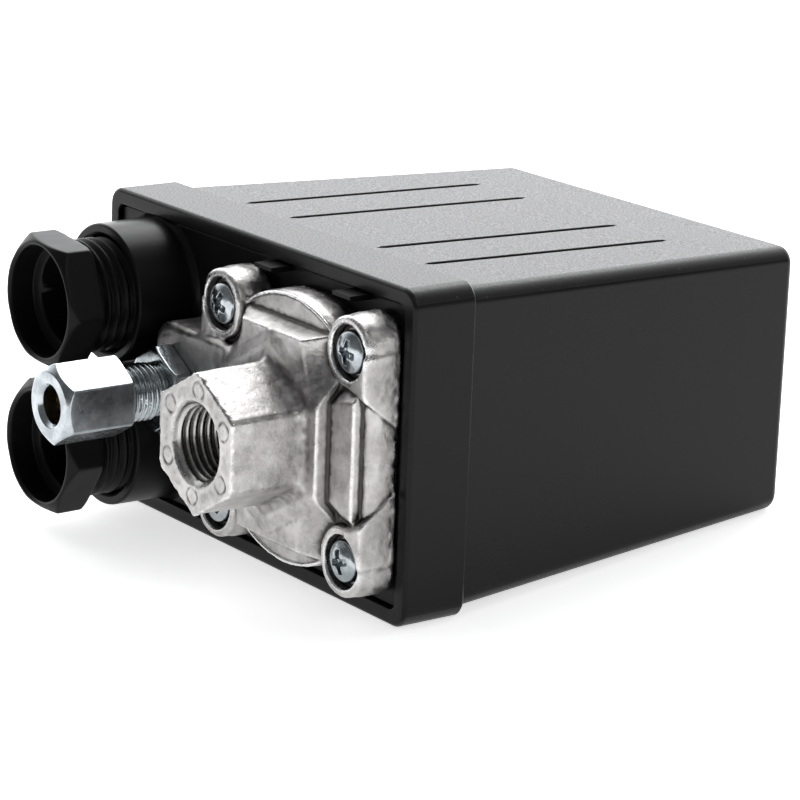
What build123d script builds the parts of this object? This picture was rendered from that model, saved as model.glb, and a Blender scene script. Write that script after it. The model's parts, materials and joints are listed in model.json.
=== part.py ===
"""Air-compressor pressure switch, lying on its side, in millimetres.

Frame: the origin is the centre of the port's mouth. The port, the cable glands and the
unloader valve point to -Y, the box runs back along +Y, and +Z is up as the switch lies.
"""
import os
from math import sqrt, tan, radians

from build123d import *

# ---- driving dimensions -------------------------------------------------------------
BOX_X = -18.5            # centre of the box, sideways from the port axis
RIM_Y = 22.8             # front plane of the cover's open end
RIM_W = 89.0             # outside width of the band round the open end
RIM_H = 55.0             # outside height of the band
BAND = 12.1              # depth of the band
DEPTH = 84.5             # whole depth of the cover
BAND_STEP = 1.1          # the band stands this far proud of the cover
WALL = 2.3               # cover wall
BAND_WALL = 2.7          # wall inside the band
CORNER = 3.2             # corner radius of the band
EDGE = 2.7               # corner radius of the cover's long edges
DRAFT_SIDE = 3.5         # degrees
DRAFT_TOP = 1.6
DRAFT_BOTTOM = 3.4
FAR_Y = RIM_Y + DEPTH    # outer far face

BASE_Y = 23.6            # front face of the base plate
BASE_T = 3.0             # thickness of the base plate
BASE_BACK = BASE_Y + BASE_T
FIT_GAP = 0.2            # base plate to band

PORT_R = 5.72            # G1/4 minor radius
PORT_DEPTH = 14.0
PORT_HEX = 20.5          # across flats
SCREW_X = 18.0           # flange screws, from the port axis
SCREW_Z = 17.0
FLANGE_Y = 15.9          # front face of the flange
BOSS_R = 6.0
CHAMBER_R = 23.2         # outside radius of the diaphragm chamber
SIDE_X = 23.0            # flat side wall of the flange
HEAD_R = 3.5             # screw head
COUNTERBORE_R = 4.25
COUNTERBORE_T = 2.0
LEDGE_Y = 17.5           # low ledge along each side of the flange

DIAPHRAGM_R = 14.3
DIAPHRAGM_T = 1.5
PLUNGER_R = 10.6
FRAME_T = 2.0
FRAME_Z = 18.5           # outer half width of the steel frame
BRIDGE_Y = 82.0          # underside of the frame's bridge
BRIDGE_T = 2.5

LEVER_Y = 40.0           # underside of the lever
LEVER_T = 2.5
PIVOT = (-11.5, 48.0)    # X, Y of the lever's pivot
PIN_R = 2.0
RUN = 0.08               # running clearance
TIP_R = 5.0              # dome on the plunger's tip
TIP_GAP = 0.1            # plunger's tip to the lever

VALVE_X = -30.3          # axis of the unloader valve
ARM_Y = 15.0             # front face of the cast arm
NUT_HEX = 12.2           # compression nut
VALVE_HEX = 13.0
TUBE_R = 3.05            # socket for a 6 mm tube
PIN_HOLE_R = 2.0         # hole that the unloader pin passes through

GLAND_X = -47.8
GLAND_Z = 12.65
GLANDS = {"upper": GLAND_Z, "lower": -GLAND_Z}
SOCKET_R = 12.0
SOCKET_IN = 10.1
SOCKET_Y = 12.2
GLAND_HEX = 20.6
GLAND_TURN = 54.0        # angle of one corner of the gland nut
SEAL_R = 5.0             # cable hole in the seal

RANGE_X = 0.0
DIFF_X = 14.5
NUT_Y = 70.0             # underside of the two spring nuts
STRIPS = (-15.0, -6.5, 6.5, 15.0)
BLOCK_Y = 63.0           # top of the terminal block
CARRIER_X = -37.0
POST_Z = 10.75
KNOB_Z = 1.0
COVER_SCREWS = ((9.0, -12.0, BRIDGE_Y + BRIDGE_T), (-49.0, 0.0, 84.5))   # X, Z, seat Y


# ---- helpers ------------------------------------------------------------------------
def face_plane(y):
    return Plane(origin=(0, y, 0), x_dir=(1, 0, 0), z_dir=(0, -1, 0))


def prism(sketch, y0, y1):
    """A flat outline in X and Z, made solid from y0 to y1."""
    return extrude(face_plane(y1) * sketch, amount=y1 - y0)


def rod(radius, y0, y1, x=0.0, z=0.0):
    """A cylinder along Y."""
    return Pos(x, (y0 + y1) / 2, z) * Rot(90, 0, 0) * Cylinder(radius, y1 - y0)


def cone(r0, r1, y0, y1, x=0.0, z=0.0):
    """A cone along Y, of radius r0 at y0 and r1 at y1."""
    lower = face_plane(y0) * Pos(x, z) * Circle(r0)
    upper = face_plane(y1) * Pos(x, z) * Circle(r1)
    return loft([lower, upper])


def tube(outer, inner, y0, y1, x=0.0, z=0.0):
    return rod(outer, y0, y1, x, z) - rod(inner, y0 - 1, y1 + 1, x, z)


def block(x0, x1, y0, y1, z0, z1):
    return Pos((x0 + x1) / 2, (y0 + y1) / 2, (z0 + z1) / 2) * Box(x1 - x0, y1 - y0, z1 - z0)


def hexagon(flats, turn=90.0):
    return RegularPolygon(flats / sqrt(3), 6, rotation=turn)


def hex_prism(flats, y0, y1, x=0.0, z=0.0, turn=90.0):
    return prism(Pos(x, z) * hexagon(flats, turn), y0, y1)


def spring(x, z, y0, y1, radius, wire, turns):
    """An open coil spring whose wire stays between y0 and y1."""
    height = y1 - y0 - 2 * wire
    path = Helix(height / turns, height, radius, center=(x, y0 + wire, z), direction=(0, 1, 0))
    section = Plane(origin=path @ 0, z_dir=path % 0) * Circle(wire / 2)
    return sweep(section, path=path, is_frenet=True)


def cross_head(x, z, y_top, radius, depth, side):
    """A pan head with a cross recess; side is -1 where it faces -Y and +1 where it faces +Y."""
    y_under = y_top - side * depth
    low, high = sorted((y_under, y_top))
    head = rod(radius, low, high, x, z)
    rim = head.edges().filter_by(GeomType.CIRCLE).sort_by(Axis.Y)
    head = fillet(rim[-1] if side > 0 else rim[0], 0.8)
    arm = 1.05 * radius
    y_floor = y_top - side * 1.3
    low, high = sorted((y_floor, y_top + side))
    return head - block(x - arm / 2, x + arm / 2, low, high, z - 0.5, z + 0.5) \
        - block(x - 0.5, x + 0.5, low, high, z - arm / 2, z + arm / 2)


def group(pieces):
    return Compound(children=[Part(p.wrapped) if not isinstance(p, Part) else p for p in pieces])


# ---- cover and base -----------------------------------------------------------------
def cover_section(y, inset, radius):
    """Outline of the drafted cover at y, moved in by inset."""
    run = y - (RIM_Y + BAND)
    half_w = RIM_W / 2 - BAND_STEP - run * tan(radians(DRAFT_SIDE)) - inset
    top = RIM_H / 2 - BAND_STEP - run * tan(radians(DRAFT_TOP)) - inset
    bottom = -RIM_H / 2 + BAND_STEP + run * tan(radians(DRAFT_BOTTOM)) + inset
    outline = RectangleRounded(2 * half_w, top - bottom, radius)
    return face_plane(y) * Pos(BOX_X, (top + bottom) / 2) * outline


def band_outline(inset, radius):
    return Pos(BOX_X, 0) * RectangleRounded(RIM_W - 2 * inset, RIM_H - 2 * inset, radius)


def make_cover():
    band_end = RIM_Y + BAND
    body = loft([cover_section(band_end - 1.0, 0, EDGE), cover_section(FAR_Y, 0, EDGE)])
    far_edges = body.edges().group_by(Axis.Y)[-1]
    body = fillet(far_edges, 1.8)
    band = prism(band_outline(0, CORNER), RIM_Y, band_end)
    shell = band + body
    inner_end = FAR_Y - WALL
    shell -= prism(band_outline(BAND_WALL, 1.5), RIM_Y - 1, band_end)
    shell -= loft([cover_section(band_end - 0.01, WALL, 1.2), cover_section(inner_end, WALL, 1.2)])
    for x in (BOX_X - 25.7, BOX_X - 12.6, BOX_X + 12.6, BOX_X + 25.7):
        shell -= groove_cutter(x)
    for x, z, seat in COVER_SCREWS:
        shell += rod(5.4, seat + 0.1, FAR_Y - 1.0, x, z)
        shell -= rod(2.2, seat - 1, FAR_Y, x, z)
        shell -= rod(4.3, FAR_Y - 4.0, FAR_Y + 1, x, z)
    shell -= rod(5.35, FAR_Y - 5, FAR_Y + 1, BOX_X, KNOB_Z)
    return shell


def groove_cutter(x):
    """A shallow groove 1.2 mm wide in the top face, with pointed ends."""
    y0 = RIM_Y + 15.6
    y1 = RIM_Y + 67.1
    z0 = RIM_H / 2 - BAND_STEP - (y0 - RIM_Y - BAND) * tan(radians(DRAFT_TOP))
    outline = Polyline((x, y0), (x + 0.6, y0 + 1.6), (x + 0.6, y1 - 1.6), (x, y1),
                       (x - 0.6, y1 - 1.6), (x - 0.6, y0 + 1.6), (x, y0))
    cutter = extrude(make_face(outline), amount=2.0)
    tilt = Pos(0, y0, 0) * Rot(-DRAFT_TOP, 0, 0) * Pos(0, -y0, 0)
    return Pos(0, 0, z0 - 0.9) * tilt * cutter


def make_cover_screws():
    pieces = []
    for x, z, seat in COVER_SCREWS:
        head_top = FAR_Y - 4.0 + 2.4
        screw = cross_head(x, z, head_top, 3.8, 2.4, 1) + rod(1.95, seat - 6.0, FAR_Y - 4.0, x, z)
        pieces.append(screw)
    return group(pieces)


def make_base_plate():
    inset = BAND_WALL + FIT_GAP
    plate = prism(band_outline(inset, 1.3), BASE_Y, BASE_BACK)
    plate += prism(band_outline(inset, 1.3) - band_outline(inset + 1.8, 0.6), BASE_Y, 33.5)
    for z in GLANDS.values():
        plate += rod(SOCKET_R, SOCKET_Y, BASE_BACK, GLAND_X, z)
    for z in GLANDS.values():
        plate -= rod(SOCKET_IN, SOCKET_Y - 1, BASE_Y, GLAND_X, z)
        plate -= rod(8.0, SOCKET_Y, BASE_BACK + 1, GLAND_X, z)
    plate -= rod(DIAPHRAGM_R + 0.2, BASE_Y - 1, BASE_Y + DIAPHRAGM_T)
    plate -= rod(PLUNGER_R + 0.4, BASE_Y, BASE_BACK + 1)
    for x in (-SCREW_X, SCREW_X):
        for z in (-SCREW_Z, SCREW_Z):
            plate -= rod(2.2, BASE_Y - 1, BASE_BACK + 1, x, z)
    plate -= rod(PIN_HOLE_R, BASE_Y - 1, BASE_BACK + 1, VALVE_X, 0)
    for x in (-10.6, 11.2):
        plate += block(x - 2.4, x + 2.4, BASE_Y - 4.2, BASE_Y, 23.6, 24.5)
    plate += rod(1.5, BASE_BACK, BASE_BACK + 3, CARRIER_X, 0)
    return plate


# ---- pressure flange ----------------------------------------------------------------
def flange_outline():
    outline = Circle(CHAMBER_R)
    outline += Rectangle(2 * SIDE_X, 2 * SCREW_Z)
    for x in (-SCREW_X, SCREW_X):
        for z in (-SCREW_Z, SCREW_Z):
            outline += Pos(x, z) * Circle(BOSS_R)
    return outline & Rectangle(2 * SIDE_X, 4 * SIDE_X)


def make_flange():
    body = prism(flange_outline(), FLANGE_Y, BASE_Y)
    body += prism(Pos(-24, 0) * RectangleRounded(2 * 11.8, 21.6, 4.0), ARM_Y, BASE_Y)
    plateau = RegularPolygon(15.1, 8, rotation=22.5)
    body += loft([face_plane(FLANGE_Y) * plateau, face_plane(13.4) * RegularPolygon(14.6, 8, rotation=22.5)])
    body += loft([face_plane(14.0) * hexagon(PORT_HEX + 0.6), face_plane(0) * hexagon(PORT_HEX)])
    body -= rod(PORT_R, -1, PORT_DEPTH)
    body -= rod(3.0, PORT_DEPTH - 1, BASE_Y - 4)
    body -= rod(12.0, BASE_Y - 4.5, BASE_Y + 1)
    for x in (-SCREW_X, SCREW_X):
        for z in (-SCREW_Z, SCREW_Z):
            body -= rod(COUNTERBORE_R, FLANGE_Y - 1, FLANGE_Y + COUNTERBORE_T, x, z)
            body -= rod(2.2, FLANGE_Y, BASE_Y + 1, x, z)
    for side in (-1, 1):
        ledge = block(20.7, SIDE_X + 1, FLANGE_Y - 1, LEDGE_Y, -10.0, 10.0)
        body -= ledge if side > 0 else mirror(ledge, Plane.YZ)
    body -= rod(4.5, ARM_Y - 1, 21.0, VALVE_X, 0)
    body -= rod(1.6, 20.0, BASE_Y + 1, VALVE_X, 0)
    return body


def make_flange_screws():
    pieces = []
    for x in (-SCREW_X, SCREW_X):
        for z in (-SCREW_Z, SCREW_Z):
            under = FLANGE_Y + COUNTERBORE_T
            screw = cross_head(x, z, under - 2.6, HEAD_R, 2.6, -1)
            pieces.append(screw + rod(1.95, under, 33.0, x, z))
    return group(pieces)


def make_diaphragm():
    return rod(DIAPHRAGM_R, BASE_Y, BASE_Y + DIAPHRAGM_T)


def make_plunger():
    y0 = BASE_Y + DIAPHRAGM_T + 0.05
    body = rod(PLUNGER_R, y0, y0 + 2.5)
    body += cone(8.0, 3.5, y0 + 2.5, y0 + 6.0)
    tip_y = LEVER_Y - TIP_GAP
    stem = rod(3.5, y0 + 6.0, tip_y)
    return body + (stem & Pos(0, tip_y - TIP_R, 0) * Sphere(TIP_R) + rod(3.5, y0 + 6.0, tip_y - 2.5))


# ---- steel frame and lever ----------------------------------------------------------
def cheek_outline():
    """Side of the frame in X and Y."""
    return Polyline((-14, BASE_BACK + FRAME_T), (14, BASE_BACK + FRAME_T), (14, 36), (19, 36),
                    (19, BRIDGE_Y), (-9, BRIDGE_Y), (-9, 54), (-18.5, 54), (-18.5, 36), (-14, 36),
                    (-14, BASE_BACK + FRAME_T))


def make_steel_frame():
    frame = block(-33, 21, BASE_BACK, BASE_BACK + FRAME_T, -20.6, 20.6)
    frame -= rod(PLUNGER_R + 0.4, BASE_BACK - 1, BASE_BACK + FRAME_T + 1)
    frame -= rod(PIN_HOLE_R, BASE_BACK - 1, BASE_BACK + FRAME_T + 1, VALVE_X, 0)
    cheek = extrude(make_face(cheek_outline()), amount=FRAME_T)
    frame += Pos(0, 0, FRAME_Z - FRAME_T) * cheek
    frame += Pos(0, 0, -FRAME_Z) * cheek
    frame += block(-25, 19, BRIDGE_Y, BRIDGE_Y + BRIDGE_T, -FRAME_Z, FRAME_Z)
    frame -= Pos(PIVOT[0], PIVOT[1], 0) * Cylinder(PIN_R + 0.02, 60)
    top = BRIDGE_Y + BRIDGE_T + 1
    frame -= rod(4.05, BRIDGE_Y - 1, top, RANGE_X, 0)
    frame -= rod(2.6, BRIDGE_Y - 1, top, DIFF_X, 0)
    frame -= rod(4.08, BRIDGE_Y - 1, top, BOX_X, KNOB_Z)
    frame -= rod(2.0, BRIDGE_Y - 1, top, COVER_SCREWS[0][0], COVER_SCREWS[0][1])
    for x in (-SCREW_X, SCREW_X):
        for z in (-SCREW_Z, SCREW_Z):
            frame -= rod(1.97, BASE_BACK - 1, BASE_BACK + FRAME_T + 1, x, z)
    for z in (-13, 13):
        frame -= rod(1.7, BASE_BACK - 1, BASE_BACK + FRAME_T + 1, -28, z)
    return frame


def make_pivot_pin():
    pin = Pos(PIVOT[0], PIVOT[1], 0) * Cylinder(PIN_R, 2 * FRAME_Z + 2)
    return chamfer(pin.edges(), 0.4)


def make_main_lever():
    top = LEVER_Y + LEVER_T
    lever = block(-20, 20, LEVER_Y, top, -14, 14) + block(-35, -20, LEVER_Y, top, -4, 4)
    ear = block(-19, -7, LEVER_Y, 54, 12, 14)
    lever += ear + mirror(ear, Plane.XY)
    hole = PIN_R + RUN
    lever -= Pos(PIVOT[0], PIVOT[1], 0) * Cylinder(hole, 60)
    return lever


def make_range_screw():
    screw = rod(3.95, 64.0, BRIDGE_Y + BRIDGE_T + 0.2, RANGE_X)
    screw += rod(6.5, BRIDGE_Y - 3.0, BRIDGE_Y - 0.1, RANGE_X)
    return screw + hex_prism(13.0, BRIDGE_Y + BRIDGE_T + 0.2, BRIDGE_Y + BRIDGE_T + 5.5, RANGE_X)


def make_range_nut():
    return block(-10, 9.2, NUT_Y, NUT_Y + 4, -15.5, 15.5) - rod(4.25, NUT_Y - 1, NUT_Y + 5, RANGE_X)


def make_differential_screw():
    screw = rod(2.4, 64.0, BRIDGE_Y + BRIDGE_T + 0.2, DIFF_X)
    screw += rod(4.0, BRIDGE_Y - 3.0, BRIDGE_Y - 0.1, DIFF_X)
    head = rod(4.2, BRIDGE_Y + BRIDGE_T + 0.2, BRIDGE_Y + BRIDGE_T + 3.5, DIFF_X)
    slot = block(DIFF_X - 5, DIFF_X + 5, BRIDGE_Y + BRIDGE_T + 2, BRIDGE_Y + BRIDGE_T + 4, -0.6, 0.6)
    return screw + head - slot


def make_differential_nut():
    return block(9.8, 18.6, NUT_Y, NUT_Y + 4, -15.5, 15.5) - rod(2.7, NUT_Y - 1, NUT_Y + 5, DIFF_X)


# ---- contacts -----------------------------------------------------------------------
def make_terminal_block():
    body = block(-56.5, -41.7, 52, BLOCK_Y, -19, 19)
    body += block(-55, -43, BASE_BACK, 52, -2, 2)
    body += rod(3.6, BLOCK_Y, COVER_SCREWS[1][2], COVER_SCREWS[1][0], 0)
    for z in (-10.75, 10.75):
        body += block(-56.5, -41.7, BLOCK_Y, BLOCK_Y + 8, z - 0.8, z + 0.8)
    body -= rod(2.0, 70, COVER_SCREWS[1][2] + 1, COVER_SCREWS[1][0], 0)
    for z in STRIPS:
        body -= rod(1.75, 55, BLOCK_Y + 1, -51.5, z)
    return body


def make_fixed_contacts():
    pieces = []
    for z in STRIPS:
        strip = block(-55.5, CARRIER_X + 2, BLOCK_Y, BLOCK_Y + 1, z - 2.4, z + 2.4)
        strip += rod(1.6, BLOCK_Y - 1, BLOCK_Y, CARRIER_X, z)
        pieces.append(strip - rod(1.9, BLOCK_Y - 1, BLOCK_Y + 2, -51.5, z))
    return group(pieces)


def make_terminal_clamps():
    pieces = []
    for z in STRIPS:
        clamp = block(-54.5, -48.5, BLOCK_Y + 1, BLOCK_Y + 2, z - 2.4, z + 2.4)
        pieces.append(clamp - rod(1.9, BLOCK_Y, BLOCK_Y + 3, -51.5, z))
    return group(pieces)


def make_terminal_screws():
    pieces = []
    for z in STRIPS:
        screw = cross_head(-51.5, z, BLOCK_Y + 4.4, 2.35, 2.4, 1)
        pieces.append(screw + rod(1.7, 57, BLOCK_Y + 2, -51.5, z))
    return group(pieces)


def make_contact_carrier():
    x0 = CARRIER_X - 3
    x1 = CARRIER_X + 3
    body = block(x0, x1, 37, 50, -4, 4) + block(x0, x1, 48, 52, -14, 14)
    body -= block(CARRIER_X + 1, x1 + 1, LEVER_Y - 0.7, LEVER_Y + LEVER_T + 0.8, -5, 5)
    for side in (-1, 1):
        z = side * POST_Z
        body += block(x0, x1, 52, 68, z - 1.1, z + 1.1)
        body -= block(x0 + 1, x1 - 1, 52.0, 62.0, z - 2, z + 2)
    return body - rod(1.9, 36, 40.5, CARRIER_X, 0)


def make_moving_contacts():
    pieces = []
    for side in (-1, 1):
        z = side * POST_Z
        bar = block(CARRIER_X - 1.7, CARRIER_X + 1.7, 60, 61, z - 7.0, z + 7.0)
        for strip in (z - side * 4.25, z + side * 4.25):
            bar += rod(1.5, 61, 61.95, CARRIER_X, strip)
        pieces.append(bar)
    return group(pieces)


def make_contact_springs():
    return group([spring(CARRIER_X, side * POST_Z, 52.0, 60.0, 1.35, 0.5, 6) for side in (-1, 1)])


def make_carrier_spring():
    return spring(CARRIER_X, 0, BASE_BACK + 0.05, 36.95, 2.6, 0.7, 6)


def make_range_spring():
    return spring(RANGE_X, 0, LEVER_Y + LEVER_T, NUT_Y, 7.0, 2.2, 6)


def make_differential_spring():
    return spring(DIFF_X, 0, LEVER_Y + LEVER_T, NUT_Y, 3.6, 1.1, 10)


def make_earth_screws():
    seat = BASE_BACK + FRAME_T + 1.0
    pieces = []
    for z in (-13, 13):
        pieces.append(cross_head(-28, z, seat + 2.4, 3.4, 2.4, 1) + rod(1.65, BASE_BACK, seat, -28, z))
    return group(pieces)


def make_earth_washers():
    seat = BASE_BACK + FRAME_T
    pieces = []
    for z in (-13, 13):
        plate = block(-31.8, -24.2, seat, seat + 1, z - 3.8, z + 3.8)
        pieces.append(plate - rod(1.8, seat - 1, seat + 2, -28, z))
    return group(pieces)


# ---- unloader valve -----------------------------------------------------------------
def make_unloader_body():
    body = hex_prism(VALVE_HEX, 11.3, ARM_Y, VALVE_X)
    body += rod(4.9, -1.0, 11.3, VALVE_X) + rod(4.4, ARM_Y, 20.6, VALVE_X)
    body -= rod(TUBE_R, -2, 4.0, VALVE_X)
    body -= rod(1.8, 3, 9, VALVE_X)
    return body - rod(2.6, 8.0, 21.6, VALVE_X)


def make_compression_nut():
    nut = hex_prism(NUT_HEX, -8.6, 4.3, VALVE_X)
    nut &= loft([face_plane(-8.6) * Pos(VALVE_X, 0) * Circle(5.6),
                 face_plane(-7.2) * Pos(VALVE_X, 0) * Circle(NUT_HEX / sqrt(3) + 0.4)]) \
        + rod(NUT_HEX, -7.2, 5, VALVE_X)
    nut -= rod(TUBE_R, -9.6, -4, VALVE_X)
    nut -= cone(3.4, 4.6, -5.2, -3.2, VALVE_X)
    return nut - rod(5.05, -3.2, 5.3, VALVE_X)


def make_olive():
    ring = cone(3.35, 4.3, -4.9, -3.3, VALVE_X) + rod(4.3, -3.3, -2.4, VALVE_X)
    ring += cone(4.3, 3.4, -2.4, -1.05, VALVE_X)
    return ring - rod(TUBE_R, -6, 0, VALVE_X)


def make_unloader_pin():
    pin = rod(1.2, 17.5, LEVER_Y - 0.2, VALVE_X)
    tip = pin.edges().group_by(Axis.Y)[-1]
    return fillet(tip, 1.1) + rod(2.2, 17.0, 18.2, VALVE_X)


def make_unloader_seal():
    return tube(2.2, 1.25, 18.25, 20.95, VALVE_X)


def make_unloader_spring():
    return spring(VALVE_X, 0, 8.1, 16.95, 1.75, 0.5, 6)


# ---- cable glands -------------------------------------------------------------------
def make_gland_nut(z):
    nut = hex_prism(GLAND_HEX, -0.6, 6.0, GLAND_X, z, GLAND_TURN)
    nut &= cone(10.2, 12.6, -0.6, 1.4, GLAND_X, z) + rod(GLAND_HEX, 1.4, 7, GLAND_X, z)
    nut += rod(9.7, 6.0, 17.0, GLAND_X, z)
    nut -= rod(9.45, -1.6, 4.5, GLAND_X, z)
    return nut - rod(8.0, 4, 18, GLAND_X, z)


def make_gland_washer(z):
    return tube(9.8, 6.0, 17.1, 18.1, GLAND_X, z)


def make_gland_seal(z):
    return tube(9.9, SEAL_R, 18.1, BASE_Y, GLAND_X, z)


# ---- knob ---------------------------------------------------------------------------
def make_knob():
    knob = rod(14.0, FAR_Y + 0.3, FAR_Y + 3.3, BOX_X, KNOB_Z)
    knob = chamfer(knob.edges().group_by(Axis.Y)[-1], 0.8)
    grip = block(BOX_X - 3.6, BOX_X + 3.6, FAR_Y + 3, FAR_Y + 11, KNOB_Z - 12.5, KNOB_Z + 12.5)
    knob += fillet(grip.edges().filter_by(Axis.Y) + grip.edges().group_by(Axis.Y)[-1], 1.2)
    knob += rod(5.0, 98.5, FAR_Y + 1, BOX_X, KNOB_Z)
    slot = block(BOX_X - 1.4, BOX_X + 1.4, 97, 103.0, KNOB_Z - 6, KNOB_Z + 6)
    return knob - slot


def make_switch_cam():
    cam = rod(4.0, 44.5, 98.0, BOX_X, KNOB_Z)
    cam += block(BOX_X - 1.1, BOX_X + 1.1, 98.0, 102.5, KNOB_Z - 3.5, KNOB_Z + 3.5)
    finger = block(BOX_X - 1.8, BOX_X + 1.8, 44.5, 48.5, KNOB_Z, KNOB_Z + 8)
    cam += finger
    cam += tube(6.0, 3.0, BRIDGE_Y - 2.2, BRIDGE_Y - 0.2, BOX_X, KNOB_Z)
    return cam


def all_nodes():
    nodes = {
        "cover": make_cover(),
        "cover_screws": make_cover_screws(),
        "base_plate": make_base_plate(),
        "flange_casting": make_flange(),
        "flange_screws": make_flange_screws(),
        "diaphragm": make_diaphragm(),
        "plunger": make_plunger(),
        "steel_frame": make_steel_frame(),
        "pivot_pin": make_pivot_pin(),
        "main_lever": make_main_lever(),
        "range_screw": make_range_screw(),
        "range_nut": make_range_nut(),
        "range_spring": make_range_spring(),
        "differential_screw": make_differential_screw(),
        "differential_nut": make_differential_nut(),
        "differential_spring": make_differential_spring(),
        "terminal_block": make_terminal_block(),
        "fixed_contacts": make_fixed_contacts(),
        "terminal_clamps": make_terminal_clamps(),
        "terminal_screws": make_terminal_screws(),
        "contact_carrier": make_contact_carrier(),
        "moving_contacts": make_moving_contacts(),
        "contact_springs": make_contact_springs(),
        "carrier_spring": make_carrier_spring(),
        "earth_screws": make_earth_screws(),
        "earth_washers": make_earth_washers(),
        "unloader_body": make_unloader_body(),
        "compression_nut": make_compression_nut(),
        "olive": make_olive(),
        "unloader_pin": make_unloader_pin(),
        "unloader_seal": make_unloader_seal(),
        "unloader_spring": make_unloader_spring(),
        "switch_cam": make_switch_cam(),
        "knob": make_knob(),
    }
    for name, z in GLANDS.items():
        nodes["gland_nut_" + name] = make_gland_nut(z)
        nodes["gland_washer_" + name] = make_gland_washer(z)
        nodes["gland_seal_" + name] = make_gland_seal(z)
    return nodes


os.makedirs("parts", exist_ok=True)
for node_name, shape in all_nodes().items():
    export_step(shape, "parts/" + node_name + ".step")
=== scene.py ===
"""Looks of the air-compressor pressure switch: rough casting, plated screws, cable glands and black cover.

Sizes are in millimetres until a mesh is made, in the part's own frame: the port's mouth is the origin,
-Y points out of the port, +Y into the box and +Z is up as the switch lies.
"""

import json
from math import ceil, cos, pi, radians, sin, tan

import bmesh
import bpy
import numpy as np
from mathutils import Matrix, Vector


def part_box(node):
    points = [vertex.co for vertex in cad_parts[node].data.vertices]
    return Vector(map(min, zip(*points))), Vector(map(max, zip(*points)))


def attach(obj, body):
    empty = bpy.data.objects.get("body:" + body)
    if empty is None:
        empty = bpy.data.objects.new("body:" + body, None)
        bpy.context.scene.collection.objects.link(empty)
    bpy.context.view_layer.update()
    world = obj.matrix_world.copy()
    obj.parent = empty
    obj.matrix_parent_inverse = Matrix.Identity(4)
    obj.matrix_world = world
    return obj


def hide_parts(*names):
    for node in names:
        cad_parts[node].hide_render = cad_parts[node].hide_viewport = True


MM = 0.001

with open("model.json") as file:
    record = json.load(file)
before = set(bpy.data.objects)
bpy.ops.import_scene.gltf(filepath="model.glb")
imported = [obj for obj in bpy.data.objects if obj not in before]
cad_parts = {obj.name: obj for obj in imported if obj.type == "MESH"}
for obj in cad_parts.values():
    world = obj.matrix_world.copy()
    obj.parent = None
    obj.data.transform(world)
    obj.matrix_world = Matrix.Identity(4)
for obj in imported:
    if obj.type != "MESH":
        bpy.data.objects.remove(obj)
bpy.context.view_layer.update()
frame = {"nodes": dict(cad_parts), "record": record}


def node_box(name):
    """Lowest and highest corner of a CAD node, in millimetres."""
    low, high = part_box(name)
    return np.array(low) / MM, np.array(high) / MM


# ---- places read from the frame -----------------------------------------------------
COVER_LOW, COVER_HIGH = node_box("cover")
BOX_X = (COVER_LOW[0] + COVER_HIGH[0]) / 2
RIM_Y = COVER_LOW[1]
FAR_Y = COVER_HIGH[1]
RIM_W = COVER_HIGH[0] - COVER_LOW[0]
RIM_H = COVER_HIGH[2] - COVER_LOW[2]
CAST_BACK = node_box("flange_casting")[1][1]
CAST_LEFT = node_box("flange_casting")[0][0]
CHAMBER_R = node_box("flange_casting")[1][2]
SIDE_X = node_box("flange_casting")[1][0]
VALVE_X = sum(node_box("compression_nut")[i][0] for i in (0, 1)) / 2
GLAND_BOX = {side: node_box("gland_seal_" + side) for side in ("upper", "lower")}
GLAND_X = (GLAND_BOX["upper"][0][0] + GLAND_BOX["upper"][1][0]) / 2
GLAND_Z = (GLAND_BOX["upper"][0][2] + GLAND_BOX["upper"][1][2]) / 2
SCREW_Z = 17.0
BASE_Y = CAST_BACK


# ---- signed distances on a grid -----------------------------------------------------
class Grid:
    """A regular grid of points, in millimetres, whose three axes broadcast to a field."""

    def __init__(self, low, high, step):
        self.low = np.array(low, float)
        self.step = step
        counts = [ceil((b - a) / step) + 1 for a, b in zip(low, high)]
        axes = [np.float32(a + step * np.arange(n)) for a, n in zip(low, counts)]
        self.counts = counts
        self.x = axes[0][:, None, None]
        self.y = axes[1][None, :, None]
        self.z = axes[2][None, None, :]


def join(a, b, k=0.0):
    """Union of two solids, with a fillet of about k."""
    if k <= 0:
        return np.minimum(a, b)
    h = np.maximum(k - np.abs(a - b), 0) / k
    return np.minimum(a, b) - h * h * k / 4


def common(a, b, k=0.0):
    """What two solids share, with edges rounded by about k."""
    return -join(-a, -b, k)


def less(a, b, k=0.0):
    """Solid a with b cut from it."""
    return common(a, -b, k)


def disc(x, z, radius):
    return np.hypot(x, z) - radius


def rectangle(x, z, half_x, half_z, radius=0.0):
    across = np.abs(x) - half_x + radius
    up = np.abs(z) - half_z + radius
    outside = np.hypot(np.maximum(across, 0), np.maximum(up, 0))
    return outside + np.minimum(np.maximum(across, up), 0) - radius


def polygon(x, z, sides, flats, turn, k):
    """A regular polygon by its distance across flats; turn is the angle of one corner in degrees."""
    found = None
    for i in range(sides):
        a = radians(turn + 180 / sides + i * 360 / sides)
        side = x * cos(a) + z * sin(a) - flats / 2
        found = side if found is None else common(found, side, k)
    return found


def solid(outline, y, y0, y1, r0=0.0, r1=None):
    """An outline in X and Z made solid from y0 to y1, its edges rounded by r0 at y0 and r1 at y1."""
    r1 = r0 if r1 is None else r1
    front = common(outline, y0 - y, 2 * r0)
    return common(front, y - y1, 2 * r1)


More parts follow.
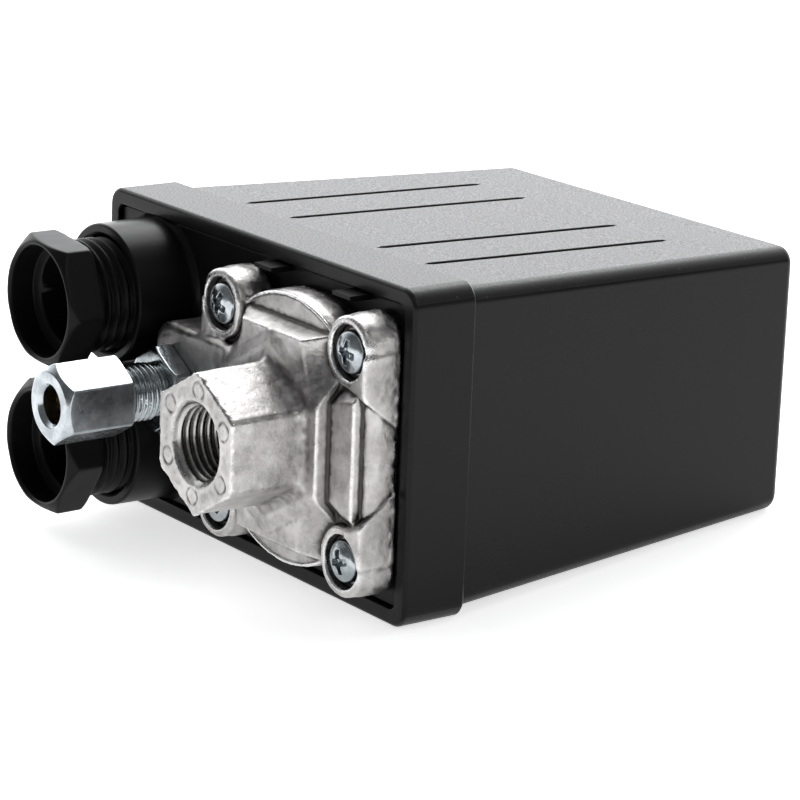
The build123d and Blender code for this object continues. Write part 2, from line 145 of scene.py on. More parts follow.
def wave(grid, cell, seed):
    """Smooth seeded noise from -1 to 1 over a grid, with lumps of about cell millimetres."""
    counts = [int(n * grid.step / cell) + 3 for n in grid.counts]
    found = np.random.default_rng(seed).uniform(-1, 1, counts).astype(np.float32)
    for axis, n in enumerate(grid.counts):
        at = np.arange(n) * grid.step / cell
        low = at.astype(int)
        share = (at - low).astype(np.float32)
        share = share * share * (3 - 2 * share)
        share = share.reshape([-1 if i == axis else 1 for i in range(3)])
        found = found.take(low, axis) * (1 - share) + found.take(low + 1, axis) * share
    return found


# ---- from a field to a mesh ---------------------------------------------------------
CORNERS = np.array([[i, j, k] for i in (0, 1) for j in (0, 1) for k in (0, 1)])
CELL_EDGES = [(a, b) for a in range(8) for b in range(8) if a < b and abs(CORNERS[a] - CORNERS[b]).sum() == 1]


def surface_net(values, grid):
    """Points and quads of the surface where the field is zero."""
    inside = values < 0
    shape = np.array(values.shape) - 1
    mixed = np.zeros(shape, np.int8)
    for corner in CORNERS:
        mixed += inside[tuple(slice(c, c + n) for c, n in zip(corner, shape))]
    cells = np.argwhere((mixed > 0) & (mixed < 8))
    number = np.full(shape, -1, np.int32)
    number[tuple(cells.T)] = np.arange(len(cells))
    at = [values[tuple((cells + corner).T)] for corner in CORNERS]
    total = np.zeros((len(cells), 3))
    crossings = np.zeros(len(cells))
    for a, b in CELL_EDGES:
        crossed = (at[a] < 0) != (at[b] < 0)
        share = np.where(crossed, at[a] / np.where(crossed, at[a] - at[b], 1), 0)
        point = CORNERS[a] + share[:, None] * (CORNERS[b] - CORNERS[a])
        total += point * crossed[:, None]
        crossings += crossed
    points = cells + total / crossings[:, None]
    quads = []
    for axis in range(3):
        side, up = (axis + 1) % 3, (axis + 2) % 3
        one = np.eye(3, dtype=int)
        here = np.take(inside, range(shape[axis]), axis)
        beyond = np.take(inside, range(1, shape[axis] + 1), axis)
        edge = np.argwhere(here != beyond)
        kept = np.all((edge[:, [side, up]] > 0) & (edge[:, [side, up]] < shape[[side, up]]), axis=1)
        edge = edge[kept]
        ring = [edge - one[side] - one[up], edge - one[up], edge, edge - one[side]]
        quad = np.stack([number[tuple(r.T)] for r in ring], 1)
        leaving = inside[tuple(edge.T)]
        quads.append(np.where(leaving[:, None], quad, quad[:, ::-1]))
    return grid.low + points * grid.step, np.concatenate(quads)


class Sampler:
    """Reads a field and its gradient between the points of its grid."""

    def __init__(self, values, grid):
        self.grid = grid
        self.shape = np.array(values.shape)
        self.values = values
        self.slopes = np.gradient(values, grid.step)

    def read(self, arrays, points):
        at = (points - self.grid.low) / self.grid.step
        at = np.clip(at, 0, self.shape - 1.001)
        low = at.astype(int)
        share = at - low
        found = [0] * len(arrays)
        for corner in CORNERS:
            weight = np.prod(np.where(corner, share, 1 - share), axis=1)
            where = tuple((low + corner).T)
            found = [f + weight * a[where] for f, a in zip(found, arrays)]
        return found

    def gradient(self, points):
        return np.stack(self.read(self.slopes, points), 1)

    def settle(self, points, rounds=3):
        """Moves points onto the surface."""
        for _ in range(rounds):
            slope = self.gradient(points)
            value = self.read([self.values], points)[0]
            size = np.maximum((slope ** 2).sum(1), 0.05)
            step = np.clip(value / size, -self.grid.step, self.grid.step)
            points = points - slope * step[:, None]
        return points

    def edge_wear_and_crevice_shade(self, points, reach):
        """Above zero on an outer edge, for worn bright edges, and below zero in a crevice, for painted shade.
        """
        total = 0
        for axis in range(3):
            for way in (-1, 1):
                shifted = points.copy()
                shifted[:, axis] += way * reach
                total = total + self.read([self.values], shifted)[0]
        return total / 6 / reach


def new_object(name, mesh, body=None, material=None):
    """A piece of the scene that rides a body and wears one material."""
    piece = bpy.data.objects.new(name, mesh)
    bpy.context.scene.collection.objects.link(piece)
    if material is not None:
        mesh.materials.clear()
        mesh.materials.append(material)
    if body is not None:
        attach(piece, body)
    return piece


def applied(piece):
    """The piece's mesh with its modifiers applied."""
    depsgraph = bpy.context.evaluated_depsgraph_get()
    return bpy.data.meshes.new_from_object(piece.evaluated_get(depsgraph))


def set_points(mesh, points):
    mesh.vertices.foreach_set("co", np.asarray(points, np.float32).ravel())
    mesh.update()


def get_points(mesh):
    points = np.zeros(len(mesh.vertices) * 3, np.float32)
    mesh.vertices.foreach_get("co", points)
    return points.reshape(-1, 3).astype(float)


def plain_mesh(name, points, faces):
    """A mesh in metres from points in millimetres."""
    mesh = bpy.data.meshes.new(name)
    mesh.from_pydata((np.asarray(points) * MM).tolist(), [], np.asarray(faces).tolist() if len(faces) else [])
    mesh.update()
    return mesh


def sculpt(name, values, grid, keep=0.5, wear_and_shade_reach=0.8):
    """A thinned mesh of a field, with exact normals and an 'edge' attribute for worn edges and painted shade
    in the crevices.
    """
    sampler = Sampler(values, grid)
    points, quads = surface_net(values, grid)
    mesh = plain_mesh(name + "_dense", sampler.settle(points), quads)
    draft = mesh_as_object(mesh)
    thin = draft.modifiers.new("thin", "DECIMATE")
    thin.ratio = keep
    done = applied(draft)
    bpy.data.objects.remove(draft)
    bpy.data.meshes.remove(mesh)
    done.name = name
    return finish_mesh(done, sampler, wear_and_shade_reach)


def finish_mesh(mesh, sampler, wear_and_shade_reach):
    """Puts the points back on the surface and adds its normals and its 'edge' attribute: worn edges and
    painted shade in the crevices.
    """
    points = sampler.settle(get_points(mesh) / MM, 1)
    set_points(mesh, points * MM)
    slope = sampler.gradient(points)
    slope /= np.maximum(np.linalg.norm(slope, axis=1), 1e-6)[:, None]
    # the 'edge' attribute: worn edges above zero, painted crevice shade below zero
    edge = mesh.attributes.new("edge", "FLOAT", "POINT")
    edge.data.foreach_set("value", sampler.edge_wear_and_crevice_shade(points, wear_and_shade_reach).astype(np.float32))
    mesh.polygons.foreach_set("use_smooth", np.ones(len(mesh.polygons), bool))
    mesh.normals_split_custom_set_from_vertices(slope.tolist())
    return mesh


def moved_copy(mesh, name, place, turn=0.0):
    """A copy of a mesh turned about Y and moved, both in millimetres and degrees."""
    copy = mesh.copy()
    copy.name = name
    matrix = Matrix.Translation(Vector(place) * MM) @ Matrix.Rotation(radians(turn), 4, "Y")
    copy.transform(matrix)
    return copy


# ---- lathe, loft and cuts -----------------------------------------------------------
def lathe(name, profile, segments=96, x=0.0, z=0.0):
    """A closed ring turned about Y from (radius, y) points; a radius of 0 closes it at the axis."""
    points, rings = [], []
    for radius, y in profile:
        if radius <= 0:
            rings.append([len(points)])
            points.append((x, y, z))
            continue
        rings.append(list(range(len(points), len(points) + segments)))
        for i in range(segments):
            a = 2 * pi * i / segments
            points.append((x + radius * cos(a), y, z + radius * sin(a)))
    faces = []
    pairs = list(zip(rings, rings[1:])) if len(rings[0]) == 1 else list(zip(rings, rings[1:] + rings[:1]))
    for a, b in pairs:
        for i in range(segments):
            j = (i + 1) % segments
            corners = [a[i % len(a)], a[j % len(a)], b[j % len(b)], b[i % len(b)]]
            faces.append(list(dict.fromkeys(corners)))
    return closed_mesh(name, points, faces)


def closed_mesh(name, points, faces):
    """A mesh from points in millimetres, its faces turned outward."""
    mesh = bpy.data.meshes.new(name)
    mesh.from_pydata([tuple(c * MM for c in p) for p in points], [], faces)
    mesh.update()
    work = bmesh.new()
    work.from_mesh(mesh)
    bmesh.ops.recalc_face_normals(work, faces=work.faces)
    work.to_mesh(mesh)
    work.free()
    return mesh


def mesh_as_object(mesh):
    """A passing object that lets modifiers work on a mesh."""
    draft = bpy.data.objects.new(mesh.name + "_draft", mesh)
    bpy.context.scene.collection.objects.link(draft)
    return draft


def ring(y, half_w, bottom, top, radius, steps=8):
    """A rounded rectangle at depth y, about the box's middle."""
    found = []
    corners = ((1, 1, 0), (-1, 1, 90), (-1, -1, 180), (1, -1, 270))
    for side, up, start in corners:
        cx = BOX_X + side * (half_w - radius)
        cz = top - radius if up > 0 else bottom + radius
        for i in range(steps + 1):
            a = radians(start + 90 * i / steps)
            found.append((cx + radius * cos(a), y, cz + radius * sin(a)))
    return found


def loft(name, rings, closed=False):
    """Faces between rings of the same length; the two ends are capped unless it closes on itself."""
    n = len(rings[0])
    points = [p for r in rings for p in r]
    faces = []
    spans = len(rings) if closed else len(rings) - 1
    for s in range(spans):
        a, b = s * n, ((s + 1) % len(rings)) * n
        for i in range(n):
            j = (i + 1) % n
            faces.append([a + i, a + j, b + j, b + i])
    if not closed:
        faces.append(list(range(n)))
        faces.append(list(range(len(points) - n, len(points))))
    return closed_mesh(name, points, faces)


def boolean(mesh, tool, operation):
    """The union of two closed meshes, or the first less the second."""
    base, other = mesh_as_object(mesh), mesh_as_object(tool)
    change = base.modifiers.new("change", "BOOLEAN")
    change.operation = operation
    change.object = other
    change.solver = "EXACT"
    done = applied(base)
    done.name = mesh.name
    bpy.data.objects.remove(base)
    bpy.data.objects.remove(other)
    return done


def shade(mesh, angle=38.0):
    """Smooth shading that keeps flat faces flat and edges over an angle sharp."""
    mesh.polygons.foreach_set("use_smooth", np.ones(len(mesh.polygons), bool))
    mesh.set_sharp_from_angle(angle=radians(angle))
    draft = mesh_as_object(mesh)
    weigh = draft.modifiers.new("weigh", "WEIGHTED_NORMAL")
    weigh.keep_sharp = True
    weigh.weight = 90
    done = applied(draft)
    done.name = mesh.name
    bpy.data.objects.remove(draft)
    return done


def arc(cx, cy, radius, start, end, steps=6):
    """Points of an arc in a (radius, y) profile, in degrees."""
    angles = [radians(start + (end - start) * i / steps) for i in range(steps + 1)]
    return [(cx + radius * cos(a), cy + radius * sin(a)) for a in angles]


# ---- materials ----------------------------------------------------------------------
class Shader:
    """A material with a Principled shader, and short ways to add nodes to it."""

    def __init__(self, name, **sockets):
        self.material = bpy.data.materials.new(name)
        self.material.use_nodes = True
        self.nodes = self.material.node_tree.nodes
        self.links = self.material.node_tree.links
        self.shader = self.nodes["Principled BSDF"]
        self.place = self.nodes.new("ShaderNodeTexCoord").outputs["Object"]
        self.set(**sockets)

    def set(self, **sockets):
        for key, value in sockets.items():
            self.shader.inputs[key.replace("_", " ").title().replace("Ior", "IOR")].default_value = value

    def noise(self, size_mm, detail=3.0, rough=0.55, stretch=None, place=None):
        """Noise whose lumps are about size_mm across."""
        node = self.nodes.new("ShaderNodeTexNoise")
        node.inputs["Scale"].default_value = 1 / (size_mm * MM)
        node.inputs["Detail"].default_value = detail
        node.inputs["Roughness"].default_value = rough
        source = place or self.place
        if stretch is not None:
            mapping = self.nodes.new("ShaderNodeMapping")
            mapping.inputs["Scale"].default_value = stretch
            self.links.new(source, mapping.inputs["Vector"])
            source = mapping.outputs["Vector"]
        self.links.new(source, node.inputs["Vector"])
        return node.outputs["Fac"]

    def cells(self, size_mm, feature="F1"):
        node = self.nodes.new("ShaderNodeTexVoronoi")
        node.feature = feature
        node.inputs["Scale"].default_value = 1 / (size_mm * MM)
        self.links.new(self.place, node.inputs["Vector"])
        return node.outputs["Distance"]

    def attribute(self, name):
        node = self.nodes.new("ShaderNodeAttribute")
        node.attribute_name = name
        return node.outputs["Fac"]

    def ramp(self, source, low, high, to_low=0.0, to_high=1.0):
        """Maps low..high to to_low..to_high smoothly, clamped."""
        node = self.nodes.new("ShaderNodeMapRange")
        node.interpolation_type = "SMOOTHSTEP"
        node.inputs["From Min"].default_value = low
        node.inputs["From Max"].default_value = high
        node.inputs["To Min"].default_value = to_low
        node.inputs["To Max"].default_value = to_high
        self.links.new(source, node.inputs["Value"])
        return node.outputs["Result"]

    def math(self, operation, a, b):
        node = self.nodes.new("ShaderNodeMath")
        node.operation = operation
        for socket, value in zip(node.inputs, (a, b)):
            if isinstance(value, (int, float)):
                socket.default_value = value
            else:
                self.links.new(value, socket)
        return node.outputs["Value"]

    def mix(self, factor, a, b):
        """A colour between a and b."""
        node = self.nodes.new("ShaderNodeMix")
        node.data_type = "RGBA"
        self.links.new(factor, node.inputs["Factor"])
        for name, value in (("A", a), ("B", b)):
            socket = [s for s in node.inputs if s.name == name and s.type == "RGBA"][0]
            if isinstance(value, tuple):
                socket.default_value = (*value, 1.0)
            else:
                self.links.new(value, socket)
        return [s for s in node.outputs if s.type == "RGBA"][0]

    def to(self, source, socket):
        self.links.new(source, self.shader.inputs[socket])

    def bump(self, layers):
        """Bump from (height, depth in millimetres) pairs, one after another."""
        normal = None
        for height, depth in layers:
            node = self.nodes.new("ShaderNodeBump")
            node.inputs["Strength"].default_value = 1.0
            node.inputs["Distance"].default_value = depth * MM
            self.links.new(height, node.inputs["Height"])
            if normal is not None:
                self.links.new(normal, node.inputs["Normal"])
            normal = node.outputs["Normal"]
        self.to(normal, "Normal")
        return self.material


def textured_plastic():
    """Spark-eroded black plastic."""
    s = Shader("cover_textured", specular_ior_level=0.42)
    grain = s.noise(0.32, 2.0, 0.6)
    coarse = s.noise(0.8, 2.0, 0.5)
    cloud = s.noise(22.0, 3.0, 0.6)
    specks = s.ramp(s.noise(0.5, 1.0, 0.5), 0.72, 0.78)
    base = s.mix(cloud, (0.010, 0.010, 0.0105), (0.016, 0.0155, 0.0155))
    s.to(s.mix(specks, base, (0.08, 0.08, 0.08)), "Base Color")
    s.to(s.ramp(grain, 0.3, 0.7, 0.28, 0.46), "Roughness")
    return s.bump([(grain, 0.022), (coarse, 0.014)])


def smooth_plastic(name, shade_low, shade_high, rough_low, rough_high, shine=0.24):
    """Moulded black plastic with faint flow marks and rubbed places."""
    s = Shader(name, specular_ior_level=shine)
    flow = s.noise(14.0, 4.0, 0.6, stretch=(1.0, 0.35, 1.0))
    skin = s.noise(1.6, 3.0, 0.5)
    fine = s.noise(0.25, 2.0, 0.5)
    scratch = s.ramp(s.noise(1.2, 2.0, 0.5, stretch=(1.0, 0.04, 1.0)), 0.66, 0.74)
    s.to(s.mix(flow, shade_low, shade_high), "Base Color")
    rough = s.ramp(flow, 0.3, 0.7, rough_low, rough_high)
    s.to(s.math("ADD", rough, s.math("MULTIPLY", scratch, 0.06)), "Roughness")
    return s.bump([(skin, 0.012), (fine, 0.004)])


def cast_metal():
    """Die-cast aluminium: pitted skin, painted shade in the crevices and bright worn edges."""
    s = Shader("cast_aluminium", metallic=1.0)
    edge = s.attribute("edge")
    stain = s.noise(5.0, 5.0, 0.65)
    mottle = s.noise(1.1, 4.0, 0.65)
    pits = s.ramp(s.cells(0.9), 0.0, 0.16)
    grain = s.noise(0.22, 3.0, 0.6)
    body = s.mix(s.ramp(stain, 0.35, 0.65), (0.36, 0.35, 0.345), (0.55, 0.535, 0.53))
    body = s.mix(s.ramp(mottle, 0.35, 0.7, 0.0, 0.5), body, (0.64, 0.62, 0.61))
    # painted shade: crevices darkened to near black where the 'edge' signal falls below zero
    crevice_shaded = s.mix(s.ramp(edge, -0.15, -0.01), (0.09, 0.085, 0.082), body)
    s.to(s.mix(s.ramp(edge, 0.08, 0.34), crevice_shaded, (0.80, 0.80, 0.80)), "Base Color")
    rough = s.ramp(mottle, 0.3, 0.7, 0.30, 0.50)
    s.to(s.math("SUBTRACT", rough, s.ramp(edge, 0.04, 0.2, 0.0, 0.12)), "Roughness")
    return s.bump([(mottle, 0.09), (grain, 0.03), (pits, 0.04)])


def machined_metal():
    """Cut thread: darker, with painted shade in the thread roots and fine rings left by the tap."""
    s = Shader("cut_thread", metallic=1.0)
    edge = s.attribute("edge")
    rings = s.noise(0.35, 2.0, 0.5, stretch=(0.2, 2.0, 0.2))
    # painted shade: the thread roots darkened from the 'edge' signal
    s.to(s.mix(s.ramp(edge, -0.1, 0.15), (0.10, 0.095, 0.09), (0.50, 0.49, 0.48)), "Base Color")
    s.to(s.ramp(rings, 0.3, 0.7, 0.22, 0.38), "Roughness")
    return s.bump([(rings, 0.01)])


def plated_metal(name, base, bright, rough_low, rough_high, grain_mm=0.5):
    """Plated or bare metal with faint cloudiness and fine tool marks."""
    s = Shader(name, metallic=1.0)
    cloud = s.noise(3.0, 4.0, 0.6)
    fine = s.noise(grain_mm, 3.0, 0.6)
    lines = s.noise(0.4, 2.0, 0.5, stretch=(1.0, 0.12, 1.0))
    s.to(s.mix(s.ramp(cloud, 0.3, 0.7), base, bright), "Base Color")
    s.to(s.ramp(fine, 0.3, 0.7, rough_low, rough_high), "Roughness")
    return s.bump([(fine, 0.006), (lines, 0.004)])


def sheet_metal():
    """Yellow-passivated sheet steel: straw, pink and green clouds over grey."""
    s = Shader("sheet_steel", metallic=1.0)
    cloud = s.noise(6.0, 4.0, 0.65)
    tint = s.noise(2.5, 3.0, 0.6)
    gold = s.mix(s.ramp(tint, 0.35, 0.65), (0.66, 0.56, 0.30), (0.62, 0.60, 0.42))
    s.to(s.mix(s.ramp(cloud, 0.4, 0.75), gold, (0.62, 0.48, 0.42)), "Base Color")
    s.to(s.ramp(tint, 0.3, 0.7, 0.28, 0.42), "Roughness")
    return s.bump([(s.noise(0.5, 3.0, 0.6), 0.006)])


def soft_rubber():
    s = Shader("rubber", specular_ior_level=0.35)
    skin = s.noise(0.6, 3.0, 0.6)
    s.to(s.mix(s.noise(6.0, 3.0, 0.6), (0.014, 0.014, 0.014), (0.030, 0.029, 0.028)), "Base Color")
    s.to(s.ramp(skin, 0.3, 0.7, 0.6, 0.75), "Roughness")
    return s.bump([(skin, 0.02)])


COVER_BLACK = ((0.008, 0.008, 0.0085), (0.012, 0.012, 0.0125))
BASE_BLACK = ((0.006, 0.006, 0.006), (0.011, 0.011, 0.011))
TERMINAL_BROWN = ((0.035, 0.03, 0.026), (0.05, 0.042, 0.036))

looks = {
    "cover_textured": textured_plastic(),
    "cover_plastic": smooth_plastic("cover_plastic", *COVER_BLACK, 0.26, 0.32),
    "base_plastic": smooth_plastic("base_plastic", *BASE_BLACK, 0.28, 0.40, 0.2),
    "knob_plastic": smooth_plastic("knob_plastic", *COVER_BLACK, 0.14, 0.2),
    "terminal_plastic": smooth_plastic("terminal_plastic", *TERMINAL_BROWN, 0.4, 0.5),
    "cast_aluminium": cast_metal(),
    "cut_thread": machined_metal(),
    "zinc_steel": plated_metal("zinc_steel", (0.34, 0.37, 0.39), (0.52, 0.55, 0.57), 0.14, 0.26),
    "spring_steel": plated_metal("spring_steel", (0.36, 0.36, 0.37), (0.52, 0.52, 0.53), 0.22, 0.34),
    "brass": plated_metal("brass", (0.62, 0.42, 0.15), (0.80, 0.60, 0.28), 0.22, 0.36),
    "sheet_steel": sheet_metal(),
    "rubber": soft_rubber(),
}

slot_of = {part["node"]: part["material_slot"] for part in frame["record"]["subparts"]}
for node, slot_name in slot_of.items():
    cad_mesh = frame["nodes"][node].data
    for i in range(max(1, len(cad_mesh.materials))):
        if i < len(cad_mesh.materials):
            cad_mesh.materials[i] = looks[slot_name]
        else:
            cad_mesh.materials.append(looks[slot_name])


# ---- flange casting -----------------------------------------------------------------
TIER_1 = 13.4        # front of the plateau round the port
TIER_2 = 15.7        # front of the two side wings
LEDGE_Y = 17.5       # level of the arch pads, the side ledges and the hollows round the bosses
WALL_Y = 22.5        # where the visible side wall ends and the casting tucks in
RING_Y = 15.9        # front of the screw bosses
SEAT_Y = 17.9        # bottom of the counterbores
BOSSES = {"left_upper": (-17.65, 17.0), "right_upper": (18.1, 17.0),
          "left_lower": (-18.0, -17.0), "right_lower": (18.0, -17.0)}
PORT_MAJOR, PORT_MINOR, PORT_PITCH = 6.58, 5.72, 1.337
PORT_DEPTH = 14.0


def flange_outline(x, z):
    """Chamber circle, square and four corner rounds, flat at the two sides."""
    outline = join(disc(x, z, CHAMBER_R - 0.7), rectangle(x, z, SIDE_X, SCREW_Z), 1.5)
    for bx, bz in BOSSES.values():
        outline = join(outline, disc(x - bx, z - bz, 5.9), 0.8)
    return common(outline, np.abs(x) - SIDE_X, 0.5)


def thread_radius(x, y, z, minor, major, pitch, turn=0.0):
    """Radius of a rounded V thread at each point."""
    angle = np.arctan2(z, x) / (2 * pi)
    phase = (y / pitch + angle + turn) % 1.0
    tooth = np.abs(2 * phase - 1)
    tooth = np.clip((tooth - 0.12) / 0.76, 0, 1)
    return minor + (major - minor) * tooth


def casting_field(g):
    """The flange with its arch, wings, plateau, screw bosses, side arm and port hexagon."""
    x, y, z = g.x, g.y, g.z
    tuck = np.clip(y - WALL_Y, 0, 0.35) * 2.6
    body = solid(flange_outline(x, z) + tuck, y, LEDGE_Y, CAST_BACK, 0.9, 0.2)
    lip = np.maximum(np.hypot(np.hypot(x, z) - CHAMBER_R + 1.15, y - LEDGE_Y - 0.05) - 0.32, np.abs(x) - 12.5)
    body = join(body, lip, 0.3)
    deep = y - TIER_2
    slope = (np.abs(z) - 7.9 - (np.abs(x) - 14.3) * 0.34) * 0.94 - deep
    wing = common(rectangle(x, z, 20.6, 12.0) - deep * 0.1, slope * 0.71, 0.3)
    deep = y - TIER_1
    plateau = common(np.abs(x) - 13.95 - 0.15 * deep, (z - 16.8 - 0.34 * deep) * 0.95, 0.2)
    plateau = common(plateau, (-z - 17.6 - 0.34 * deep) * 0.95, 0.2)
    for bx, bz in BOSSES.values():
        hollow = (disc(x - bx, z - bz, 8.9) + y - 14.5) * 0.71
        wing = less(wing, hollow, 0.25)
        plateau = less(plateau, hollow, 0.25)
    body = join(body, solid(wing, y, TIER_2, WALL_Y, 0.15, 0.2), 0.3)
    fall = 0.3 * np.clip(np.abs(x) * 0.5 + np.abs(z) * 0.866 - 13.0, 0, 2)
    body = join(body, solid(plateau, y - fall, TIER_1, WALL_Y - 1, 0.2, 0.2), 0.4)
    for bx, bz in BOSSES.values():
        post = common(disc(x - bx, z - bz, 5.8), np.abs(x) - SIDE_X, 1.4)
        body = join(body, solid(post, y, RING_Y, WALL_Y, 0.4, 0.2), 0.6)
        ramp = (10.9 + 0.35 * (21.0 - np.abs(x)) - 0.7 * (y - RING_Y) - np.abs(z)) * 0.78
        ledge = common(np.abs(x) - SIDE_X, 19.0 - np.abs(x), 0.4)
        ramp = common(ledge, common(ramp, np.abs(z) - SCREW_Z), 0.3)
        body = join(body, solid(ramp, y, RING_Y, WALL_Y, 0.4, 0.2), 0.4)
    arm = rectangle(x + 24.0, z, -CAST_LEFT - 24.0, 10.8, 4.0)
    body = join(body, solid(arm, y, 15.0, CAST_BACK, 0.7, 0.2), 1.0)
    lower_left = np.clip((-x - z) / 12, 0, 1)
    flash = wave(g, 0.9, 5) * 0.22 * np.clip(1 - y / 1.1, 0, 1) + 0.3 * lower_left * np.clip(1.2 - y, 0, 1)
    hexagon = polygon(x, z, 6, 20.5, 90.0, 0.7) - y * 0.022 - flash
    body = join(body, solid(hexagon, y, 0.05, CAST_BACK, 0.22, 0.2), 1.9)
    return cut_casting(g, body)


def cut_casting(g, body):
    """Port, counterbores, valve seat and the marks of the ejector pins."""
    x, y, z = g.x, g.y, g.z
    radial = np.hypot(x, z)
    for bx, bz in BOSSES.values():
        pocket = solid(disc(x - bx, z - bz, 4.4), y, -5.0, SEAT_Y)
        body = less(body, pocket, 0.3)
    for i in range(6):
        a = radians(90 + 60 * i - 4)
        away = np.hypot(x - 8.75 * cos(a), z - 8.75 * sin(a))
        ring_mark = np.abs(away - 1.45) - 0.16
        body = less(body, np.maximum(ring_mark, y - 0.22), 0.15)
    fade = np.clip((PORT_DEPTH - 1.5 - y) / 1.5, 0, 1)
    thread = thread_radius(x, y, z, PORT_MINOR, PORT_MAJOR, PORT_PITCH)
    bore = np.maximum(PORT_MINOR + (thread - PORT_MINOR) * fade, 7.15 - y * 1.1)
    body = less(body, np.maximum((radial - bore) * 0.75, y - PORT_DEPTH), 0.1)
    body = less(body, np.maximum(radial - 3.0, y - 20.0), 0.2)
    valve = np.hypot(x - VALVE_X, z)
    body = less(body, np.maximum(valve - 4.7, y - 21.0), 0.3)
    rough = wave(g, 2.6, 1) * 0.055 + wave(g, 0.9, 2) * 0.03
    torn = wave(g, 1.3, 7) * 0.22 * np.clip(1 - np.abs(y - WALL_Y + 0.3) / 0.8, 0, 1)
    return body + rough + torn


def make_casting():
    low = (CAST_LEFT - 0.6, -0.5, -CHAMBER_R - 0.6)
    high = (SIDE_X + 0.6, CAST_BACK + 0.6, CHAMBER_R + 0.6)
    g = Grid(low, high, 0.27)
    mesh = sculpt("flange_casting_skin", casting_field(g), g, keep=0.42)
    mesh.materials.append(looks["cast_aluminium"])
    mesh.materials.append(looks["cut_thread"])
    centres = np.zeros(len(mesh.polygons) * 3)
    mesh.polygons.foreach_get("center", centres)
    centres = centres.reshape(-1, 3) / MM
    depth = centres[:, 1]
    in_port = (np.hypot(centres[:, 0], centres[:, 2]) < 6.9) & (depth > 0.35) & (depth < PORT_DEPTH)
    mesh.polygons.foreach_set("material_index", in_port.astype(np.int32))
    piece = new_object("flange_casting_skin", mesh, "housing")
    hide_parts("flange_casting")


make_casting()


# ---- screws -------------------------------------------------------------------------
def screw_mesh(name, radius, height, step):
    """A pan head with a Pozidriv recess, facing -Y, its underside at y = 0."""
    g = Grid((-radius - 0.4, -height - 0.4, -radius - 0.4), (radius + 0.4, 1.4, radius + 0.4), step)
    x, y, z = g.x, g.y, g.z
    radial = np.hypot(x, z)
    dome = np.sqrt(x * x + z * z + (y + height - 1.9 * radius) ** 2) - 1.9 * radius
    head = common(common(radial - radius, dome, 0.5), y - 0.0, 0.2)
    head = join(head, np.maximum(radial - radius * 0.55, np.abs(y - 0.3) - 0.9), 0.2)
    depth = y + height
    arm = 0.60 * radius - depth * 0.30
    wide = 0.15 * radius - depth * 0.05
    across = np.maximum(np.abs(x) - arm, np.abs(z) - wide)
    along = np.maximum(np.abs(z) - arm, np.abs(x) - wide)
    cross = np.minimum(across, along)
    core = np.abs(x) + np.abs(z) - 0.36 * radius + depth * 0.2
    recess = common(join(cross, core, 0.15), depth - 0.42 * radius, 0.3)
    head = less(head, recess, 0.05)
    return sculpt(name, head, g, keep=0.6, wear_and_shade_reach=0.3)


def make_flange_screws():
    master = screw_mesh("flange_screw", 3.5, 2.6, 0.14)
    turns = {"right_upper": 8.0, "right_lower": -14.0, "left_upper": 24.0, "left_lower": 38.0}
    for side, turn in turns.items():
        name = "flange_screw_" + side
        bx, bz = BOSSES[side]
        mesh = moved_copy(master, name, (bx, SEAT_Y, bz), turn)
        piece = new_object(name, mesh, "housing", looks["zinc_steel"])
        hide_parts("flange_screws")


make_flange_screws()


# ---- unloader valve -----------------------------------------------------------------
NUT_FRONT, NUT_BACK = node_box("compression_nut")[0][1], node_box("compression_nut")[1][1]
STUB_R = 4.9
VALVE_LOW, VALVE_HIGH = node_box("unloader_body")


def make_unloader_body():
    """Threaded stub with its own hexagon, on the casting's side arm."""
    front, back = VALVE_LOW[1], VALVE_HIGH[1]
    g = Grid((-8.0, front - 0.4, -8.0), (8.0, back + 0.4, 8.0), 0.17)
    x, y, z = g.x, g.y, g.z
    radial = np.hypot(x, z)
    fade = np.clip((11.0 - y) / 1.0, 0, 1)
    thread = thread_radius(x, y, z, STUB_R, STUB_R - 0.62, 1.0)
    stub = np.maximum((radial - (STUB_R - 0.62 + (thread - STUB_R + 0.62) * fade)) * 0.8, y - 12.0)
    stub = common(stub, front - y, 0.6)
    neck = solid(disc(x, z, 4.2), y, 10.6, back)
    hexagon = polygon(x, z, 6, 13.0, 90.0, 0.25)
    cone_front = (radial - 6.6 - (y - 11.3) * 1.7) * 0.5
    cone_back = (radial - 6.9 - (15.0 - y) * 1.7) * 0.5
    nut = common(common(solid(hexagon, y, 11.3, 15.0, 0.15), cone_front, 0.1), cone_back, 0.1)
    body = join(join(stub, neck), nut, 0.3)
    body = less(body, np.maximum(radial - 3.05, y - 4.0), 0.2)
    body = less(body, np.maximum(radial - 1.8, y - 9.0))
    mesh = moved_copy(sculpt("unloader_stub", body, g, keep=0.5, wear_and_shade_reach=0.4), "valve_stub", (VALVE_X, 0, 0))
    piece = new_object("valve_stub", mesh, "housing", looks["zinc_steel"])
    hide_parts("unloader_body")


